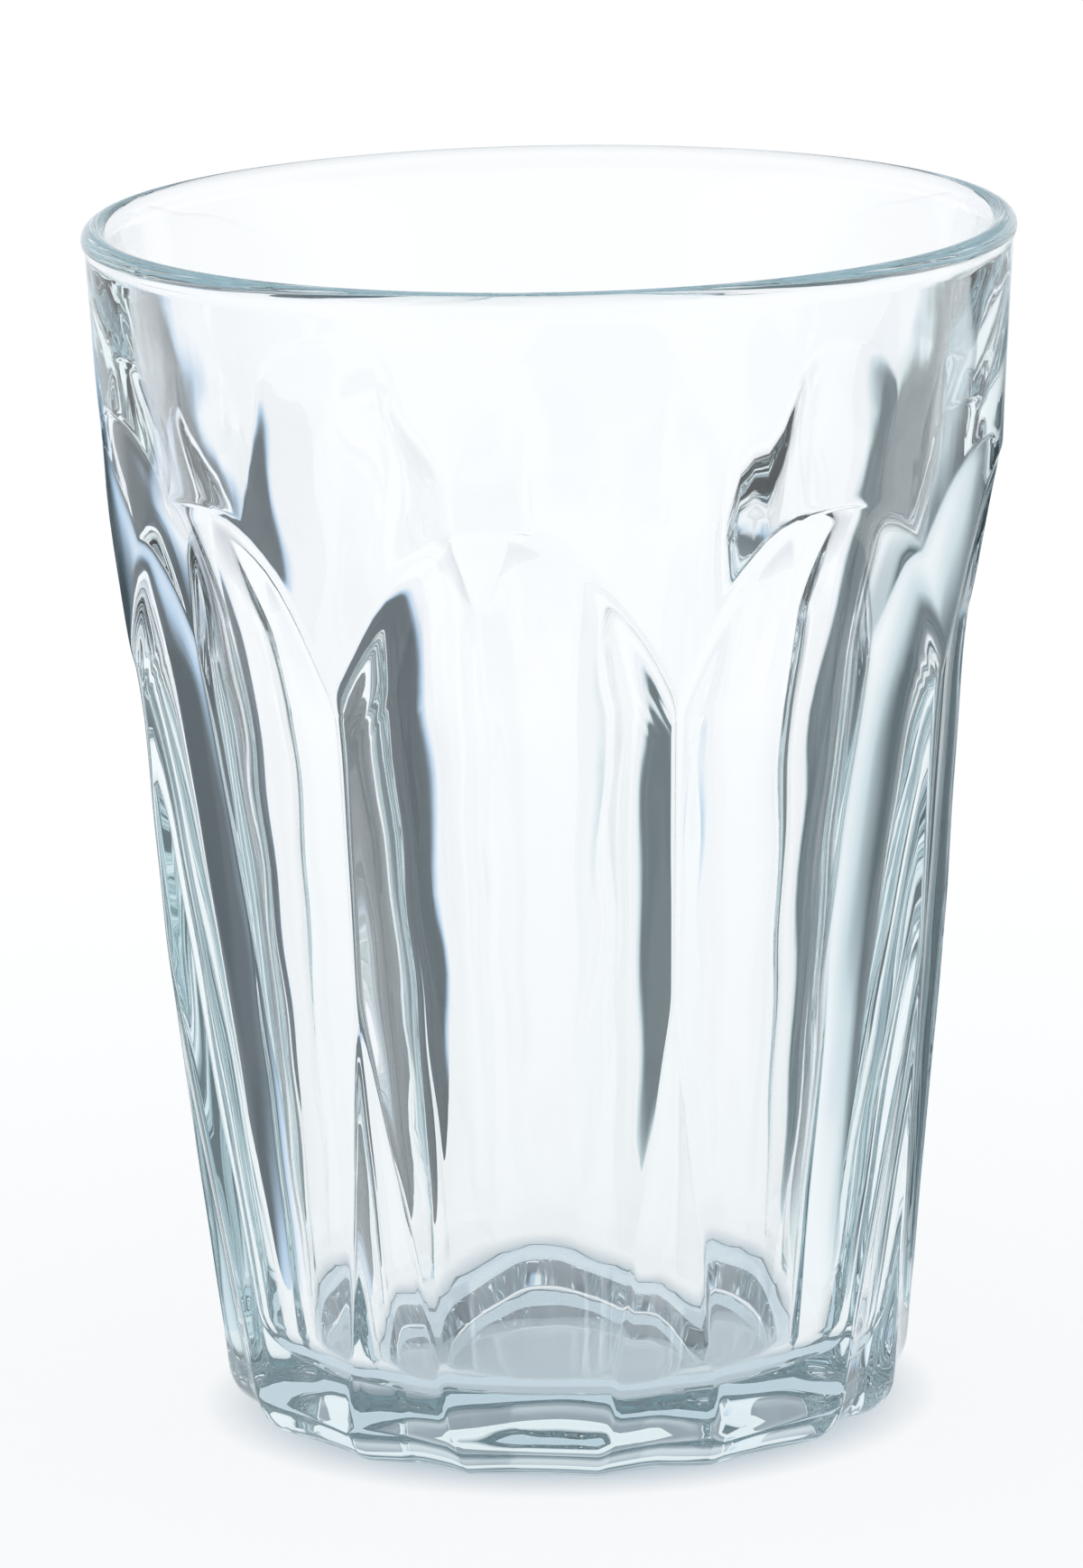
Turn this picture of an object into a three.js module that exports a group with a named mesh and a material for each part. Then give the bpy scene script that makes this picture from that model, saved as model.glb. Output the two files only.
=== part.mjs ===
// A pressed-glass tumbler: one piece of clear glass with a plain band under the rim, arched flutes below
// it, and a V-groove down each ridge that parts the flutes into petals at the foot.
// Millimetres, +Z up, origin at the middle of the foot.

import * as THREE from 'three';
import { mergeVertices, toCreasedNormals } from 'three/addons/utils/BufferGeometryUtils.js';

// Overall sizes
const HEIGHT = 107;
const RIM_RADIUS = 41;
const FOOT_RADIUS = 29.2;

// Rim and plain band
const RIM_BEAD_RADIUS = 1.15;
const RIM_PROUD = 0.2;
const BAND_HEIGHT = 20.5;
const BAND_TAPER = 0.0605;

// Flutes: the arch rises from the cusps between two flutes to the band, and the bottom of the flute
// runs straight from the foot up to the throat, then sweeps out to the top of the arch
const FLUTE_COUNT = 8;
const FLUTE_DEPTH = 4.45;
const FLUTE_WALL = 2.3;
const ARCH_RISE = 17;
const RUNOUT_HEIGHT = 22.5;
const CUSP_FLARE = 0.38;

// Grooves: a V cut down each ridge from a point part way up, ending in a notch between two petals
const GROOVE_HEIGHT = 48;
const GROOVE_SLOPE = 0.2;
const NOTCH_DEPTH = 0.7;

// Foot and floor
const HEEL_RADIUS = 4;
const BASE_THICKNESS = 6.5;
const FLOOR_FILLET = 4;
const BEARING_WIDTH = 5.2;
const PUNT_DEPTH = 1.8;

// Fineness of the facets, and the angle between two of them that shows as an edge
const FLUTE_STEPS = 12;
const GROOVE_STEPS = 6;
const ARCH_STEPS = 12;
const BEAD_STEPS = 8;
const FILLET_STEPS = 6;
const PUNT_STEPS = 4;
const HEEL_STEPS = 4;
const HALVINGS = 30;
const CREASE = Math.PI / 12;

const FLUTE_COLUMNS = FLUTE_STEPS + 2;
const HALF_PITCH = Math.PI / FLUTE_COUNT;
const ARCH_TOP = HEIGHT - BAND_HEIGHT;
const CUSP_HEIGHT = ARCH_TOP - ARCH_RISE;
const THROAT_HEIGHT = ARCH_TOP - RUNOUT_HEIGHT;
const THROAT_RADIUS = bandRadius(THROAT_HEIGHT) - FLUTE_DEPTH;
const CAVITY_THROAT = THROAT_RADIUS - FLUTE_WALL;
const CAVITY_LEAN = cavityLean();
const NOTCH_RADIUS = FOOT_RADIUS - NOTCH_DEPTH;
const FLUTE_HOLLOW = bandRadius(CUSP_HEIGHT) * Math.cos(HALF_PITCH) - middleRadius(CUSP_HEIGHT);

// The plain outer taper of the band, which reaches down to the cusps
function bandRadius(z) {
  return RIM_RADIUS - RIM_PROUD - BAND_TAPER * (HEIGHT - z);
}

// Lean of the cavity's wall, a cone that leaves the wall behind the flutes and touches the round of the rim
function cavityLean() {
  const out = RIM_RADIUS - RIM_BEAD_RADIUS - CAVITY_THROAT;
  const up = HEIGHT - RIM_BEAD_RADIUS - THROAT_HEIGHT;
  return Math.atan2(out, up) - Math.asin(RIM_BEAD_RADIUS / Math.hypot(out, up));
}

// The wall of the cavity
function cavityRadius(z) {
  return CAVITY_THROAT + (z - THROAT_HEIGHT) * Math.tan(CAVITY_LEAN);
}

// Radius along the middle of a flute: a straight line from the foot to the throat, then the run-out arc
// that leaves the line smoothly and meets the band at the top of the arch
function middleRadius(z) {
  const lean = Math.atan((THROAT_RADIUS - FOOT_RADIUS) / THROAT_HEIGHT);
  if (z <= THROAT_HEIGHT) {
    return FOOT_RADIUS + z * Math.tan(lean);
  }
  const out = bandRadius(ARCH_TOP) - THROAT_RADIUS;
  const half = Math.atan(out / RUNOUT_HEIGHT) - lean;
  const size = Math.hypot(out, RUNOUT_HEIGHT) / (2 * Math.sin(half));
  const angle = Math.asin(Math.sin(lean) + (z - THROAT_HEIGHT) / size);
  return THROAT_RADIUS + size * (Math.cos(lean) - Math.cos(angle));
}

// Radius along the ridge between two flutes: up to the cusp the flutes keep the same hollow, and above
// the cusp the ridge would flare out of the glass
function ridgeRadius(z) {
  if (z > CUSP_HEIGHT) {
    return bandRadius(CUSP_HEIGHT) + CUSP_FLARE * (z - CUSP_HEIGHT);
  }
  return (middleRadius(z) + FLUTE_HOLLOW) / Math.cos(HALF_PITCH);
}

// Radius of a flute at an angle from its middle: across the flute the glass follows a parabola through
// the middle and the two ridges
function fluteRadius(z, angle) {
  const middle = middleRadius(z);
  const ridge = ridgeRadius(z);
  const bend = (ridge * Math.cos(HALF_PITCH) - middle) / (ridge * Math.sin(HALF_PITCH)) ** 2;
  const root = Math.cos(angle) ** 2 - 4 * bend * middle * Math.sin(angle) ** 2;
  return 2 * middle / (Math.cos(angle) + Math.sqrt(root));
}

// Radius of a groove at an angle from its ridge: two flat sides that meet along the bottom, which rises
// straight from the notch at the foot to a point on the ridge
function grooveRadius(z, angle) {
  const bottom = NOTCH_RADIUS + (ridgeRadius(GROOVE_HEIGHT) - NOTCH_RADIUS) * z / GROOVE_HEIGHT;
  return bottom / (Math.cos(angle) - GROOVE_SLOPE * Math.sin(angle));
}

// Place between low and high where a test that holds at the low end stops holding, found by halving
function lastPlace(low, high, holds) {
  for (let i = 0; i < HALVINGS; i++) {
    const middle = (low + high) / 2;
    if (holds(middle)) {
      low = middle;
    } else {
      high = middle;
    }
  }
  return high;
}

// Height at which the flute runs out into the band
function archHeight(angle) {
  return lastPlace(CUSP_HEIGHT, ARCH_TOP, (z) => fluteRadius(z, angle) < bandRadius(z));
}

// Angle from the middle of a flute to its edge: the ridge, or the side of the groove cut down the ridge
function edgeAngle(z) {
  if (z >= GROOVE_HEIGHT) {
    return HALF_PITCH;
  }
  return lastPlace(0, HALF_PITCH, (angle) => fluteRadius(z, angle) < grooveRadius(z, HALF_PITCH - angle));
}

// Angle of a column of points from the middle of its flute: the first column follows the bottom of the
// groove and the ridge above it, and the others share out the width of the flute
function columnAngle(z, column) {
  if (column === 0) {
    return -HALF_PITCH;
  }
  return edgeAngle(z) * (2 * (column - 1) / FLUTE_STEPS - 1);
}

// A point of a column in cylindrical coordinates: radius, angle from the middle of the flute, height
function columnPoint(radius, z, column, level = z) {
  return new THREE.Vector3(radius, columnAngle(level, column), z);
}

// Outer radius of the glass along a column, below the arches
function sideRadius(z, column) {
  if (column === 0 && z < GROOVE_HEIGHT) {
    return grooveRadius(z, 0);
  }
  return fluteRadius(z, columnAngle(z, column));
}

// Points along an arc in the (radius, height) plane, both ends included
function arc(radius, height, size, start, end, steps) {
  const points = [];
  for (let i = 0; i <= steps; i++) {
    const angle = start + (end - start) * i / steps;
    points.push(new THREE.Vector2(radius + size * Math.cos(angle), height + size * Math.sin(angle)));
  }
  return points;
}

// Hollow of the underside, a shallow dome that leaves a flat ring under the petals to stand on
function punt() {
  const ring = FOOT_RADIUS - HEEL_RADIUS - BEARING_WIDTH;
  const size = (ring ** 2 + PUNT_DEPTH ** 2) / (2 * PUNT_DEPTH);
  const edge = Math.asin((size - PUNT_DEPTH) / size);
  return arc(0, PUNT_DEPTH - size, size, Math.PI / 2, edge, PUNT_STEPS).slice(1);
}

// Rounded heel, from the flat ring up to the outside of the foot
function heel(column) {
  const points = [];
  for (let i = 0; i < HEEL_STEPS; i++) {
    const turn = Math.PI / 2 * i / HEEL_STEPS;
    const z = HEEL_RADIUS * (1 - Math.cos(turn));
    const inset = HEEL_RADIUS * (1 - Math.sin(turn));
    points.push(columnPoint(sideRadius(z, column) - inset, z, column));
  }
  return points;
}

// Outside of the glass between two heights, the upper one left out
function side(column, low, high, steps) {
  const points = [];
  for (let i = 0; i < steps; i++) {
    const z = low + (high - low) * i / steps;
    points.push(columnPoint(sideRadius(z, column), z, column));
  }
  return points;
}

// Rounded rim: an arc from the outside of the band over the top to the wall of the cavity
function rimBead() {
  const radius = RIM_RADIUS - RIM_BEAD_RADIUS;
  const height = HEIGHT - RIM_BEAD_RADIUS;
  const outer = Math.acos(Math.min(1, (bandRadius(height) - radius) / RIM_BEAD_RADIUS));
  return arc(radius, height, RIM_BEAD_RADIUS, -outer, Math.PI - CAVITY_LEAN, BEAD_STEPS);
}

// Round corner between the wall of the cavity and its floor
function floorFillet() {
  const height = BASE_THICKNESS + FLOOR_FILLET;
  const radius = cavityRadius(height) - FLOOR_FILLET / Math.cos(CAVITY_LEAN);
  return arc(radius, height, FLOOR_FILLET, -CAVITY_LEAN, -Math.PI / 2, FILLET_STEPS);
}

// Half section of the glass along a column: underside, heel, grooved side, flute, band, rim, cavity
function section(column) {
  const arch = archHeight(columnAngle(HEIGHT, column));
  return [
    ...punt().map((point) => columnPoint(point.x, point.y, column, 0)),
    ...heel(column),
    ...side(column, HEEL_RADIUS, GROOVE_HEIGHT, GROOVE_STEPS),
    ...side(column, GROOVE_HEIGHT, arch, ARCH_STEPS),
    columnPoint(bandRadius(arch), arch, column),
    ...rimBead().map((point) => columnPoint(point.x, point.y, column)),
    ...floorFillet().map((point) => columnPoint(point.x, point.y, column, HEIGHT)),
  ];
}

// The same geometry without the triangles that have two corners in one place
function withoutCollapsed(geometry) {
  const merged = mergeVertices(geometry);
  const corners = merged.index.array;
  const kept = [];
  for (let i = 0; i < corners.length; i += 3) {
    const [a, b, c] = corners.slice(i, i + 3);
    if (a !== b && b !== c && c !== a) {
      kept.push(a, b, c);
    }
  }
  merged.setIndex(kept);
  return merged;
}

// Skin of the glass: every column of points is joined to the next one round the axis, and a point on the
// axis closes the skin under the foot and another on the floor of the cavity. Above the grooves the
// columns on the two sides of a ridge lie on each other
function glassGeometry() {
  const positions = [];
  const triangles = [];
  const rows = section(0).length;
  const columns = FLUTE_COUNT * FLUTE_COLUMNS;
  const under = columns * rows;
  const floor = under + 1;
  for (let i = 0; i < columns; i++) {
    const column = i % FLUTE_COLUMNS;
    const middle = 2 * HALF_PITCH * Math.floor(i / FLUTE_COLUMNS) - Math.PI / 2;
    for (const point of section(column)) {
      const turn = middle + point.y;
      positions.push(point.x * Math.cos(turn), point.x * Math.sin(turn), point.z);
    }
    const here = i * rows;
    const next = (i + 1) % columns * rows;
    for (let row = 0; row < rows - 1; row++) {
      const [a, b, c, d] = [here + row, next + row, next + row + 1, here + row + 1];
      if (column <= FLUTE_STEPS / 2) {
        triangles.push(a, b, d, b, c, d);
      } else {
        triangles.push(a, b, c, a, c, d);
      }
    }
    triangles.push(under, next, here);
    triangles.push(floor, here + rows - 1, next + rows - 1);
  }
  positions.push(0, 0, PUNT_DEPTH, 0, 0, BASE_THICKNESS);

  const geometry = new THREE.BufferGeometry();
  geometry.setAttribute('position', new THREE.Float32BufferAttribute(positions, 3));
  geometry.setIndex(triangles);
  return toCreasedNormals(withoutCollapsed(geometry), CREASE);
}

const clearGlass = new THREE.MeshStandardMaterial({
  color: 0xe4f1f2,
  roughness: 0.03,
  metalness: 0,
  transparent: true,
  opacity: 0.35,
});

const glassBody = new THREE.Mesh(glassGeometry(), clearGlass);
glassBody.name = 'glass_body';

const tumbler = new THREE.Group();
tumbler.name = 'tumbler';
tumbler.add(glassBody);

export default tumbler;
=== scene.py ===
import math

import bpy
import numpy as np
from mathutils import Matrix, Vector


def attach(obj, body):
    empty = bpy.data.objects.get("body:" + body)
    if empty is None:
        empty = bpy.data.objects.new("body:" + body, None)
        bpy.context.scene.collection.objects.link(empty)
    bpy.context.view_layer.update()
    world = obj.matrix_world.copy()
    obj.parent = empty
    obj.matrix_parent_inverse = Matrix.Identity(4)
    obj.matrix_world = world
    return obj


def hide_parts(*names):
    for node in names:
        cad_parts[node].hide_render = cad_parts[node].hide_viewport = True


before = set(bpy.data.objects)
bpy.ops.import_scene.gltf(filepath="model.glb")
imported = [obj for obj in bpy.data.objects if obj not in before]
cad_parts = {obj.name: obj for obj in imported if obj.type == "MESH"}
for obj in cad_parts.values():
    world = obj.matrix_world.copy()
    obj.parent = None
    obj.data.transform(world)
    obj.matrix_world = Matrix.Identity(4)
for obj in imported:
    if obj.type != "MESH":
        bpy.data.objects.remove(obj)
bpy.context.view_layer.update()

MM = 0.001

# Sizes of the glass in millimetres, as in the part's source
HEIGHT = 107.0
RIM_RADIUS = 41.0
FOOT_RADIUS = 29.2
RIM_BEAD_RADIUS = 1.15
RIM_PROUD = 0.2
BAND_HEIGHT = 20.5
BAND_TAPER = 0.0605
FLUTE_COUNT = 8
FLUTE_DEPTH = 4.45
FLUTE_WALL = 2.3
ARCH_RISE = 17.0
RUNOUT_HEIGHT = 22.5
CUSP_FLARE = 0.38
GROOVE_HEIGHT = 48.0
GROOVE_SLOPE = 0.2
NOTCH_DEPTH = 0.7
HEEL_RADIUS = 4.0
BASE_THICKNESS = 6.5
FLOOR_FILLET = 4.0
BEARING_WIDTH = 5.2
PUNT_DEPTH = 1.8

# What pressing and fire-polishing leave, in millimetres: soft edges, and faint waves in the skin that fade
# out below the rim
ARCH_SOFTNESS = 0.5
GROOVE_SOFTNESS = 0.25
BEAD_SOFTNESS = 0.3
RIDGE_SOFTNESS = 0.6
WAVE_HEIGHT = 0.012
WAVE_FADE = 8.0

# The waves: how many go round the glass, radians in a millimetre upwards, radians at the start. Those of the
# inside are shifted from those of the outside.
WAVES = ((3, 0.31, 0.3), (5, -0.23, 1.9), (11, 0.17, 4.1), (17, -0.41, 2.6), (8, 0.55, 5.2),
         (29, 0.04, 1.1), (41, -0.06, 3.3))
INSIDE_SHIFT = 3

# Fineness of the mesh: columns in half a flute, and rows along each stretch of the half section
GROOVE_COLUMNS = 6
FLUTE_COLUMNS = 12
PUNT_ROWS = 14
RING_ROWS = 4
HEEL_ROWS = 12
SIDE_ROWS = 60
ARCH_ROWS = 50
BAND_ROWS = 40
BEAD_ROWS = 22
CAVITY_ROWS = 40
FILLET_ROWS = 16
FLOOR_ROWS = 10
HALVINGS = 40

# Powers that gather the columns at the edges of the grooves, and the rows at the arches and the rim
GROOVE_GATHER = 1.5
FLUTE_GATHER = 1.3
ARCH_GATHER = 1.5
BAND_GATHER = 1.4
RIM_GATHER = 2

# Glass: refraction, tint of its depth, and smears in its gloss
GLASS_IOR = 1.51
GLASS_TINT = (0.7, 0.86, 0.88, 1)
GLASS_DENSITY = 12
SMEAR_SCALE = 60
SMEAR_DETAIL = 4
SMEAR_RANGE = (0.45, 0.8)
SMEAR_ROUGHNESS = 0.03

# Floor in metres: its side, its paper for the light that falls on it, and the colours that the eye sees at
# some distances from the middle of the glass, which begin with a painted shade under the foot and a faint
# painted shadow round it, before the white further out
FLOOR_SIZE = 40.0
FLOOR_PAPER = 0.3
FLOOR_ROUGHNESS = 0.9
FLOOR_SHADE_RADII = (0, 0.025, 0.033, 0.25)
FLOOR_WHITE_AND_PAINTED_SHADE = ((0.42, 0.49, 0.54), (0.43, 0.505, 0.56), (0.85, 0.855, 0.86), (0.923, 0.926, 0.93))

# Cards in metres that lean beside the glass, out of the picture, white with one soft dark patch: where the
# foot and the top stand across the picture, the patch's middle in depth and height, its dark and its whole
# radius, and the colours of its dark and its fringe
CARD_ENDS = (-0.05, 0.12)
CARD_HEIGHT = 0.12
CARD_WHITE = (0.95, 0.97, 1)
CARD_FRINGE = 0.4
CARDS = {
    "card_left": {
        "across": (-0.043, -0.056),
        "middle": (0.042, 0.036),
        "radii": (0.041, 0.058),
        "colours": ((0.06, 0.085, 0.1), (0.46, 0.63, 0.82)),
    },
    "card_right": {
        "across": (0.038, 0.058),
        "middle": (0.038, 0.045),
        "radii": (0.038, 0.058),
        "colours": ((0.09, 0.13, 0.145), (0.6, 0.72, 0.76)),
    },
}

# Light from all round: sines of some heights above the horizon, and the colours there
SKY_PLACES = (0, 0.12, 0.3, 1)
SKY_COLOURS = ((0.95, 0.97, 1), (0.72, 0.75, 0.79), (0.36, 0.4, 0.45), (0.2, 0.23, 0.26))

# Camera in metres: it stands a little to the right of the middle of the front flute, and looks down
VIEW_TURN = Matrix.Rotation(math.radians(6.9), 4, "Z")
CAMERA_PLACE = Vector((0, -0.9, 0.254))
CAMERA_TARGET = Vector((-0.00154, 0, 0.05608))
CAMERA_ROLL = math.radians(-1.06)
CAMERA_LENS = 238.8
SENSOR_HEIGHT = 36
GLASS_BOUNCES = 32
GLOSSY_BOUNCES = 16

# Places that follow from the sizes
HALF_PITCH = math.pi / FLUTE_COUNT
ARCH_TOP = HEIGHT - BAND_HEIGHT
CUSP_HEIGHT = ARCH_TOP - ARCH_RISE
THROAT_HEIGHT = ARCH_TOP - RUNOUT_HEIGHT
NOTCH_RADIUS = FOOT_RADIUS - NOTCH_DEPTH
RING_RADIUS = FOOT_RADIUS - HEEL_RADIUS - BEARING_WIDTH
BEAD_HEIGHT = HEIGHT - RIM_BEAD_RADIUS
BEAD_CENTRE = RIM_RADIUS - RIM_BEAD_RADIUS


def soft_min(a, b, softness):
    """The smaller of two radii, with the corner where they cross rounded over."""
    near = np.maximum(softness - np.abs(a - b), 0) / softness
    return np.minimum(a, b) - near * near * softness / 4


def halve(low, high, holds):
    """Place between low and high where a test that holds at the low end stops holding."""
    for _ in range(HALVINGS):
        middle = (low + high) / 2
        inside = holds(middle)
        low = np.where(inside, middle, low)
        high = np.where(inside, high, middle)
    return high


def band_radius(z):
    """The plain outer taper of the band."""
    return RIM_RADIUS - RIM_PROUD - BAND_TAPER * (HEIGHT - z)


THROAT_RADIUS = band_radius(THROAT_HEIGHT) - FLUTE_DEPTH
CAVITY_THROAT = THROAT_RADIUS - FLUTE_WALL
RIDGE_ANGLE = RIDGE_SOFTNESS / band_radius(CUSP_HEIGHT)


def cavity_lean():
    """Lean of the cavity's wall, a cone that touches the round of the rim."""
    out = BEAD_CENTRE - CAVITY_THROAT
    up = BEAD_HEIGHT - THROAT_HEIGHT
    return math.atan2(out, up) - math.asin(RIM_BEAD_RADIUS / math.hypot(out, up))


CAVITY_LEAN = cavity_lean()


def cavity_radius(z):
    """The wall of the cavity."""
    return CAVITY_THROAT + (z - THROAT_HEIGHT) * math.tan(CAVITY_LEAN)


def middle_radius(z):
    """Radius along the middle of a flute: a straight line to the throat, then the run-out arc."""
    lean = math.atan((THROAT_RADIUS - FOOT_RADIUS) / THROAT_HEIGHT)
    out = band_radius(ARCH_TOP) - THROAT_RADIUS
    half = math.atan(out / RUNOUT_HEIGHT) - lean
    size = math.hypot(out, RUNOUT_HEIGHT) / (2 * math.sin(half))
    sine = np.clip(math.sin(lean) + (z - THROAT_HEIGHT) / size, -1, 1)
    arc = THROAT_RADIUS + size * (math.cos(lean) - np.sqrt(1 - sine * sine))
    return np.where(z <= THROAT_HEIGHT, FOOT_RADIUS + z * math.tan(lean), arc)


FLUTE_HOLLOW = band_radius(CUSP_HEIGHT) * math.cos(HALF_PITCH) - float(middle_radius(CUSP_HEIGHT))


def ridge_radius(z):
    """Radius along the ridge between two flutes, which would flare out of the glass above the cusp."""
    flare = band_radius(CUSP_HEIGHT) + CUSP_FLARE * (z - CUSP_HEIGHT)
    return np.where(z > CUSP_HEIGHT, flare, (middle_radius(z) + FLUTE_HOLLOW) / math.cos(HALF_PITCH))


def flute_radius(z, angle):
    """Radius of a flute at an angle from its middle: a parabola through the middle and the two ridges."""
    middle = middle_radius(z)
    ridge = ridge_radius(z)
    bend = (ridge * math.cos(HALF_PITCH) - middle) / (ridge * math.sin(HALF_PITCH)) ** 2
    root = np.maximum(np.cos(angle) ** 2 - 4 * bend * middle * np.sin(angle) ** 2, 0)
    return 2 * middle / (np.cos(angle) + np.sqrt(root))


def groove_radius(z, angle):
    """Radius of a groove at an angle from its ridge: two flat sides that meet along the bottom."""
    top = float(ridge_radius(GROOVE_HEIGHT))
    bottom = NOTCH_RADIUS + (top - NOTCH_RADIUS) * z / GROOVE_HEIGHT
    return bottom / (np.cos(angle) - GROOVE_SLOPE * np.sin(angle))


def arch_height(angle):
    """Height at which the flute runs out into the band."""
    low = np.full_like(angle, CUSP_HEIGHT)
    high = np.full_like(angle, ARCH_TOP)
    return halve(low, high, lambda z: flute_radius(z, angle) < band_radius(z))


def groove_reach(z):
    """Angle from a ridge to the edge of its groove, never less than the soft top of the ridge itself."""
    low = np.zeros_like(z)
    high = np.full_like(z, HALF_PITCH)
    edge = halve(low, high, lambda b: groove_radius(z, b) < flute_radius(z, HALF_PITCH - b))
    edge = np.where(z < GROOVE_HEIGHT, edge, 0)
    return np.hypot(edge, RIDGE_ANGLE)


def side_radius(z, angle):
    """Outside of the glass: flutes, grooves and band, with soft edges where they meet."""
    from_ridge = np.hypot(HALF_PITCH - np.abs(angle), RIDGE_ANGLE)
    fluted = flute_radius(np.minimum(z, ARCH_TOP), HALF_PITCH - from_ridge)
    grooved = soft_min(fluted, groove_radius(z, from_ridge), GROOVE_SOFTNESS)
    side = np.where(z < CUSP_HEIGHT, grooved, fluted)
    return np.where(z < ARCH_TOP, soft_min(side, band_radius(z), ARCH_SOFTNESS), band_radius(z))


def rim_side(z, angle):
    """The band, with the bead of the rim swelling softly out of its top."""
    swell = np.sqrt(np.maximum(RIM_BEAD_RADIUS ** 2 - (z - BEAD_HEIGHT) ** 2, 0))
    side = side_radius(z, angle)
    swollen = -soft_min(-side, -(BEAD_CENTRE + swell), BEAD_SOFTNESS)
    return np.where(z > BEAD_HEIGHT - RIM_BEAD_RADIUS, swollen, side)


def column_angles(z):
    """Angles across one flute at each height, ridge to ridge, gathered at the edges of the grooves."""
    reach = groove_reach(z)[:, None]
    share = np.arange(GROOVE_COLUMNS) / GROOVE_COLUMNS
    groove = reach * (1 - (1 - share) ** GROOVE_GATHER)
    share = np.arange(FLUTE_COLUMNS + 1) / FLUTE_COLUMNS
    flute = reach + (HALF_PITCH - reach) * share ** FLUTE_GATHER
    half = np.hstack([groove, flute]) - HALF_PITCH
    return np.hstack([half, -half[:, -2:0:-1]])


def wave(z, turn, shift):
    """Fine waviness of the pressed skin."""
    total = sum(np.sin(n * turn + m * z + start + shift) for n, m, start in WAVES)
    return WAVE_HEIGHT * total * np.clip((BEAD_HEIGHT - z) / WAVE_FADE, 0, 1)


def arc_rows(radius, height, size, start, end, rows):
    """Radii and heights along an arc, the first end left out."""
    turn = start + (end - start) * np.arange(1, rows + 1) / rows
    return radius + size * np.cos(turn), height + size * np.sin(turn)


def underside_rows():
    """The shallow dome under the foot, from its middle to the flat ring."""
    size = (RING_RADIUS ** 2 + PUNT_DEPTH ** 2) / (2 * PUNT_DEPTH)
    edge = math.asin((size - PUNT_DEPTH) / size)
    return arc_rows(0, PUNT_DEPTH - size, size, math.pi / 2, edge, PUNT_ROWS)


def foot_rows(angles):
    """The flat ring that the glass stands on and the rounded heel."""
    edge = side_radius(np.zeros_like(angles), angles) - HEEL_RADIUS
    share = (np.arange(1, RING_ROWS) / RING_ROWS)[:, None]
    flat = RING_RADIUS + (edge - RING_RADIUS) * share
    turn = (math.pi / 2 * np.arange(HEEL_ROWS) / HEEL_ROWS)[:, None]
    heights, around = np.broadcast_arrays(HEEL_RADIUS * (1 - np.cos(turn)), angles)
    heel = side_radius(heights, around) - HEEL_RADIUS * (1 - np.sin(turn))
    return np.vstack([flat, heel]), np.vstack([np.zeros_like(flat), heights])


def inside_rows():
    """The rim from its outermost line over the top, the wall of the cavity, the fillet and the floor."""
    height = BASE_THICKNESS + FLOOR_FILLET
    radius = cavity_radius(height) - FLOOR_FILLET / math.cos(CAVITY_LEAN)
    bead = arc_rows(BEAD_CENTRE, BEAD_HEIGHT, RIM_BEAD_RADIUS, 0, math.pi - CAVITY_LEAN, BEAD_ROWS)
    wall = np.linspace(bead[1][-1], height - FLOOR_FILLET * math.sin(CAVITY_LEAN), CAVITY_ROWS + 1)[1:]
    fillet = arc_rows(radius, height, FLOOR_FILLET, -CAVITY_LEAN, -math.pi / 2, FILLET_ROWS)
    floor = radius * (1 - np.arange(1, FLOOR_ROWS) / FLOOR_ROWS)
    radii = np.concatenate([bead[0], cavity_radius(wall), fillet[0], floor])
    heights = np.concatenate([bead[1], wall, fillet[1], np.full(FLOOR_ROWS - 1, BASE_THICKNESS)])
    return radii, heights


def side_heights(start, arch):
    """Heights up each column from the plain flutes to the arch, and from the arch to the rim."""
    up = (np.arange(ARCH_ROWS) / ARCH_ROWS)[:, None]
    side = start + (arch - start) * (1 - (1 - up) ** ARCH_GATHER)
    up = (np.arange(BAND_ROWS) / BAND_ROWS)[:, None]
    up = up ** BAND_GATHER * (1 - up) + up * (1 - (1 - up) ** RIM_GATHER)
    return side, arch + (BEAD_HEIGHT - arch) * up


def glass_rows():
    """Radius, height and angle from the middle of the flute at every point across one flute."""
    low = np.linspace(HEEL_RADIUS, CUSP_HEIGHT - ARCH_RISE, SIDE_ROWS, endpoint=False)
    foot_angles = column_angles(np.zeros(1))
    low_angles = column_angles(low[:-1])
    top_angles = column_angles(np.full(1, HEIGHT))
    columns = top_angles.shape[1]

    under_radii, under_heights = (np.repeat(row[:, None], columns, 1) for row in underside_rows())
    foot_radii, foot_heights = foot_rows(foot_angles)
    low_heights = np.repeat(low[:-1, None], columns, 1)
    side, band = side_heights(low[-1], arch_height(top_angles))
    in_radii, in_heights = (np.repeat(row[:, None], columns, 1) for row in inside_rows())

    radii = np.vstack([under_radii, foot_radii, side_radius(low_heights, low_angles),
                       side_radius(side, top_angles), rim_side(band, top_angles), in_radii])
    heights = np.vstack([under_heights, foot_heights, low_heights, side, band, in_heights])
    foot_count = len(under_radii) + len(foot_radii)
    top_count = len(radii) - foot_count - len(low_angles)
    angles = np.vstack([np.repeat(foot_angles, foot_count, 0), low_angles,
                        np.repeat(top_angles, top_count, 0)])
    outer = np.arange(len(radii)) < len(radii) - len(in_radii)
    return radii, heights, angles, outer


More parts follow.
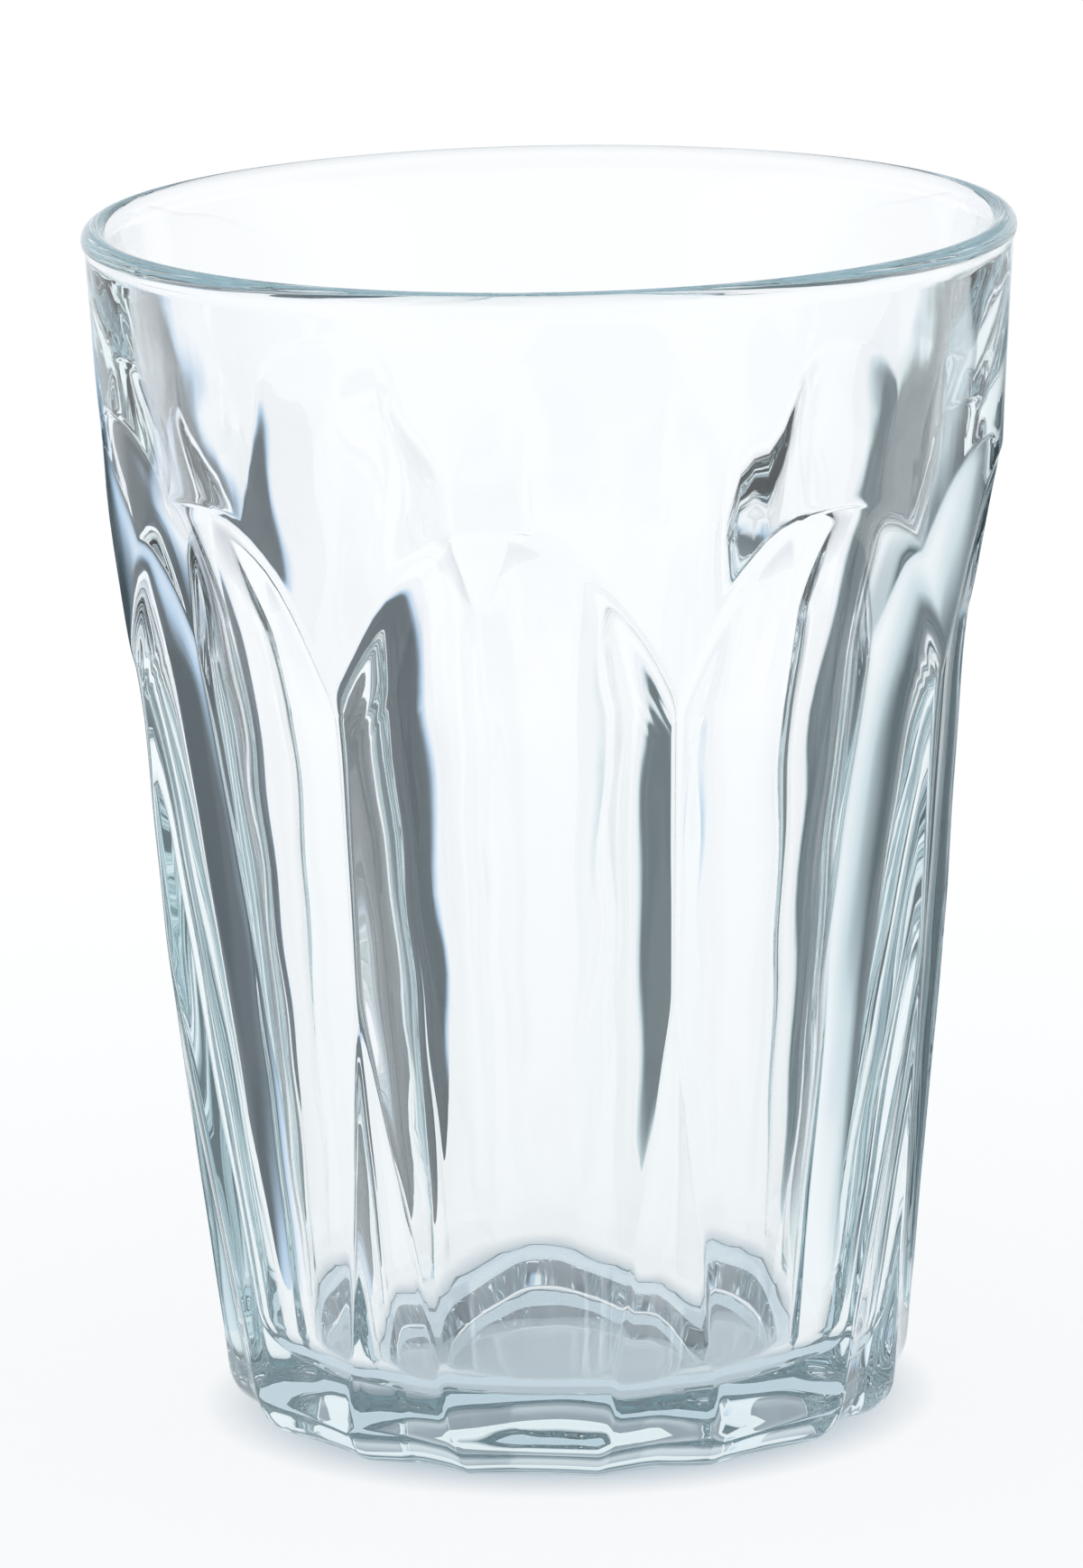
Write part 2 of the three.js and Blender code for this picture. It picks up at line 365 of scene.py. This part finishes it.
def glass_mesh():
    """Skin of the whole glass: one flute's rows repeated round the axis, closed on the axis at both ends."""
    radii, heights, angles, outer = glass_rows()
    middles = 2 * HALF_PITCH * np.arange(FLUTE_COUNT) - math.pi / 2
    turn = np.hstack([angles + middle for middle in middles])
    radii = np.tile(radii, FLUTE_COUNT)
    heights = np.tile(heights, FLUTE_COUNT)
    waves = np.where(outer[:, None], wave(heights, turn, 0), wave(heights, turn, INSIDE_SHIFT))
    radii = radii + np.where(heights > HEEL_RADIUS, waves, 0)

    rows, columns = radii.shape
    points = np.stack([radii * np.cos(turn), radii * np.sin(turn), heights], -1).reshape(-1, 3)
    points = np.vstack([points, [[0, 0, PUNT_DEPTH], [0, 0, BASE_THICKNESS]]]) * MM
    index = np.arange(rows * columns).reshape(rows, columns)
    after = np.roll(index, -1, axis=1)
    quads = np.stack([index[:-1], after[:-1], after[1:], index[1:]], -1).reshape(-1, 4)
    under, floor = rows * columns, rows * columns + 1
    fans = [(under, after[0, i], index[0, i]) for i in range(columns)]
    fans += [(floor, index[-1, i], after[-1, i]) for i in range(columns)]
    mesh = bpy.data.meshes.new("glass_skin")
    mesh.from_pydata(points.tolist(), [], quads.tolist() + fans)
    mesh.polygons.foreach_set("use_smooth", [True] * len(mesh.polygons))
    return mesh


def new_material(name):
    """A material with nodes, its nodes and its links."""
    material = bpy.data.materials.new(name)
    material.use_nodes = True
    return material, material.node_tree.nodes, material.node_tree.links


def clear_glass():
    """Clear soda-lime glass: a faint sea tint in its depth and faint smears on the skin."""
    material, nodes, links = new_material("clear_glass")
    shader = nodes["Principled BSDF"]
    shader.inputs["Base Color"].default_value = (1, 1, 1, 1)
    shader.inputs["Transmission Weight"].default_value = 1
    shader.inputs["IOR"].default_value = GLASS_IOR
    place = nodes.new("ShaderNodeTexCoord")
    smears = nodes.new("ShaderNodeTexNoise")
    smears.inputs["Scale"].default_value = SMEAR_SCALE
    smears.inputs["Detail"].default_value = SMEAR_DETAIL
    spread = nodes.new("ShaderNodeMapRange")
    spread.inputs["From Min"].default_value, spread.inputs["From Max"].default_value = SMEAR_RANGE
    spread.inputs["To Max"].default_value = SMEAR_ROUGHNESS
    links.new(place.outputs["Object"], smears.inputs["Vector"])
    links.new(smears.outputs["Fac"], spread.inputs["Value"])
    links.new(spread.outputs["Result"], shader.inputs["Roughness"])
    depth = nodes.new("ShaderNodeVolumeAbsorption")
    depth.inputs["Color"].default_value = GLASS_TINT
    depth.inputs["Density"].default_value = GLASS_DENSITY
    links.new(depth.outputs["Volume"], nodes["Material Output"].inputs["Volume"])
    return material


def add_mesh_object(name, mesh, material):
    """A new object in the scene with one material."""
    piece = bpy.data.objects.new(name, mesh)
    mesh.materials.append(material)
    bpy.context.scene.collection.objects.link(piece)
    return piece


def add_glass():
    """The visible glass, in place of the solid of the frame."""
    piece = add_mesh_object("glass_body_skin", glass_mesh(), clear_glass())
    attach(piece, "root")
    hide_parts("glass_body")


def rectangle(name, corners, material):
    """A flat four-sided sheet."""
    mesh = bpy.data.meshes.new(name)
    mesh.from_pydata(corners, [], [(0, 1, 2, 3)])
    return add_mesh_object(name, mesh, material)


def set_stops(ramp, places, colours):
    """Places and colours of a colour ramp."""
    stops = ramp.color_ramp.elements
    while len(stops) < len(places):
        stops.new(1)
    for stop, place, colour in zip(stops, places, colours):
        stop.position = place
        stop.color = (*colour, 1)


def seen_directly(nodes, links):
    """A value of 1 for rays from the camera and for those that mirror or pass through glass."""
    path = nodes.new("ShaderNodeLightPath")
    first = nodes.new("ShaderNodeMath")
    first.operation = "MAXIMUM"
    both = nodes.new("ShaderNodeMath")
    both.operation = "MAXIMUM"
    links.new(path.outputs["Is Camera Ray"], first.inputs[0])
    links.new(path.outputs["Is Glossy Ray"], first.inputs[1])
    links.new(first.outputs[0], both.inputs[0])
    links.new(path.outputs["Is Transmission Ray"], both.inputs[1])
    return both.outputs[0]


def floor_material():
    """White sweep that glows for the eye, so that it reads as white, and still takes a faint shadow. Its
    colours paint a shade under the glass and a faint shadow round its foot.
    """
    material, nodes, links = new_material("white_sweep_painted_shade")
    shader = nodes["Principled BSDF"]
    shader.inputs["Base Color"].default_value = (FLOOR_PAPER, FLOOR_PAPER, FLOOR_PAPER, 1)
    shader.inputs["Roughness"].default_value = FLOOR_ROUGHNESS
    shader.inputs["Specular IOR Level"].default_value = 0
    place = nodes.new("ShaderNodeTexCoord")
    away = nodes.new("ShaderNodeVectorMath")
    away.operation = "LENGTH"
    reach = FLOOR_SHADE_RADII[-1]
    share = nodes.new("ShaderNodeMapRange")
    share.inputs["From Max"].default_value = reach
    ramp = nodes.new("ShaderNodeValToRGB")
    # Painted shade: darker under the glass and just round its foot, white farther out
    set_stops(ramp, [radius / reach for radius in FLOOR_SHADE_RADII], FLOOR_WHITE_AND_PAINTED_SHADE)
    links.new(place.outputs["Object"], away.inputs[0])
    links.new(away.outputs["Value"], share.inputs["Value"])
    links.new(share.outputs["Result"], ramp.inputs["Fac"])
    links.new(ramp.outputs["Color"], shader.inputs["Emission Color"])
    links.new(seen_directly(nodes, links), shader.inputs["Emission Strength"])
    return material


def add_floor():
    """The pale surface that the glass stands on, which is also the background of the photo."""
    half = FLOOR_SIZE / 2
    corners = [(-half, -half, 0), (half, -half, 0), (half, half, 0), (-half, half, 0)]
    return rectangle("floor", corners, floor_material())


def card_material(name, middle, radii, colours):
    """White card with a dark patch that fades out through a tinted fringe."""
    material, nodes, links = new_material(name)
    nodes.remove(nodes["Principled BSDF"])
    place = nodes.new("ShaderNodeTexCoord")
    away = nodes.new("ShaderNodeVectorMath")
    away.operation = "DISTANCE"
    away.inputs[1].default_value = middle
    share = nodes.new("ShaderNodeMapRange")
    share.interpolation_type = "SMOOTHSTEP"
    share.inputs["From Min"].default_value, share.inputs["From Max"].default_value = radii
    ramp = nodes.new("ShaderNodeValToRGB")
    set_stops(ramp, (0, CARD_FRINGE, 1), (*colours, CARD_WHITE))
    glow = nodes.new("ShaderNodeEmission")
    links.new(place.outputs["Object"], away.inputs[0])
    links.new(away.outputs["Value"], share.inputs["Value"])
    links.new(share.outputs["Result"], ramp.inputs["Fac"])
    links.new(ramp.outputs["Color"], glow.inputs["Color"])
    links.new(glow.outputs["Emission"], nodes["Material Output"].inputs["Surface"])
    return material


def add_card(name, across, middle, radii, colours):
    """One leaning card that only the glass shows, turned with the camera."""
    foot, top = across
    near, far = CARD_ENDS
    corners = [(foot, near, 0), (foot, far, 0), (top, far, CARD_HEIGHT), (top, near, CARD_HEIGHT)]
    material = card_material(name, ((foot + top) / 2, *middle), radii, colours)
    card = rectangle(name, corners, material)
    card.matrix_world = VIEW_TURN
    card.visible_camera = False
    card.visible_diffuse = False
    card.visible_shadow = False
    return card


def add_cards():
    """The cards that make the dark streaks in the glass."""
    return [add_card(name, **card) for name, card in CARDS.items()]


def add_world():
    """Soft light from all round: bright at the horizon, greyer overhead."""
    world = bpy.data.worlds.new("studio")
    bpy.context.scene.world = world
    world.use_nodes = True
    nodes, links = world.node_tree.nodes, world.node_tree.links
    place = nodes.new("ShaderNodeTexCoord")
    split = nodes.new("ShaderNodeSeparateXYZ")
    ramp = nodes.new("ShaderNodeValToRGB")
    set_stops(ramp, SKY_PLACES, SKY_COLOURS)
    links.new(place.outputs["Generated"], split.inputs["Vector"])
    links.new(split.outputs["Z"], ramp.inputs["Fac"])
    links.new(ramp.outputs["Color"], nodes["Background"].inputs["Color"])
    nodes["Background"].inputs["Strength"].default_value = 1


def add_camera():
    """The camera of the photo."""
    data = bpy.data.cameras.new("camera")
    data.sensor_fit = "VERTICAL"
    data.sensor_height = SENSOR_HEIGHT
    data.lens = CAMERA_LENS
    camera = bpy.data.objects.new("camera", data)
    bpy.context.scene.collection.objects.link(camera)
    place = VIEW_TURN @ CAMERA_PLACE
    aim = (VIEW_TURN @ CAMERA_TARGET - place).to_track_quat("-Z", "Y")
    camera.matrix_world = (Matrix.Translation(place) @ aim.to_matrix().to_4x4()
                           @ Matrix.Rotation(CAMERA_ROLL, 4, "Z"))
    bpy.context.scene.camera = camera


add_glass()
add_floor()
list(add_cards())
add_world()
add_camera()
scene = bpy.context.scene
scene.view_settings.view_transform = "Standard"
scene.cycles.max_bounces = GLASS_BOUNCES
scene.cycles.transmission_bounces = GLASS_BOUNCES
scene.cycles.glossy_bounces = GLOSSY_BOUNCES
